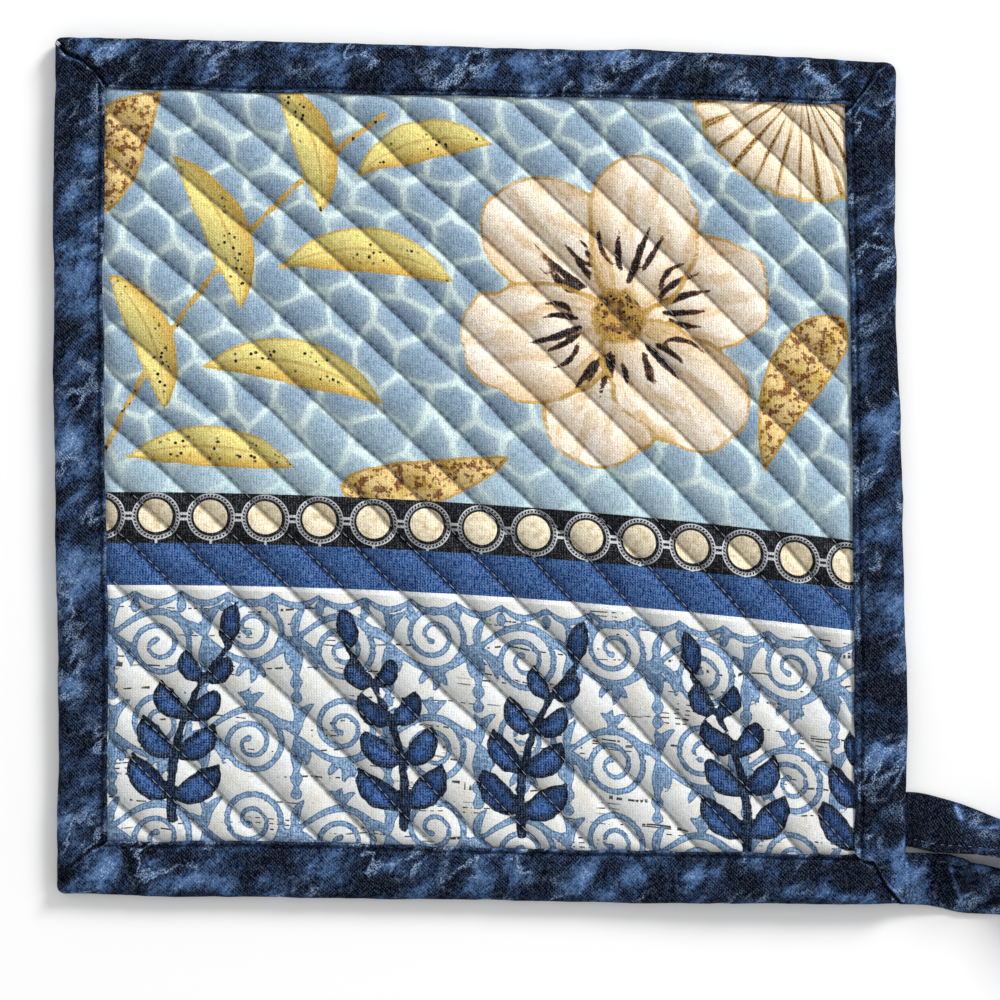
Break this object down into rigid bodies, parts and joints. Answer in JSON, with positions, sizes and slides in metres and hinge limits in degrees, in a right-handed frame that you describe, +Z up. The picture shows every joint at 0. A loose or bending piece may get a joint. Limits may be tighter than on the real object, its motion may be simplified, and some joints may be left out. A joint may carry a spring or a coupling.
{
  "type": "quilted pot holder",
  "caption": "Square quilted cotton pot holder with slanting sewn channels, a folded mitred binding and a hanging loop at one corner.",
  "frame": {"origin": "middle of the underside of the square pad, on the plane that it rests on", "axes": "+Z up out of the printed face, +X towards the side with the hanging loop, +Y towards the top edge of the print"},
  "size_m": [0.2805, 0.2271, 0.0139],
  "materials": {
    "pad_print": "printed plain-weave cotton, matte",
    "binding_cloth": "marbled dark blue cotton, matte",
    "loop_cloth": "marbled dark blue cotton, matte"
  },
  "bodies": {
    "root": {"quilted_pad": "pad_print", "edge_binding": "binding_cloth", "hanging_loop": "loop_cloth"}
  },
  "joints": []
}
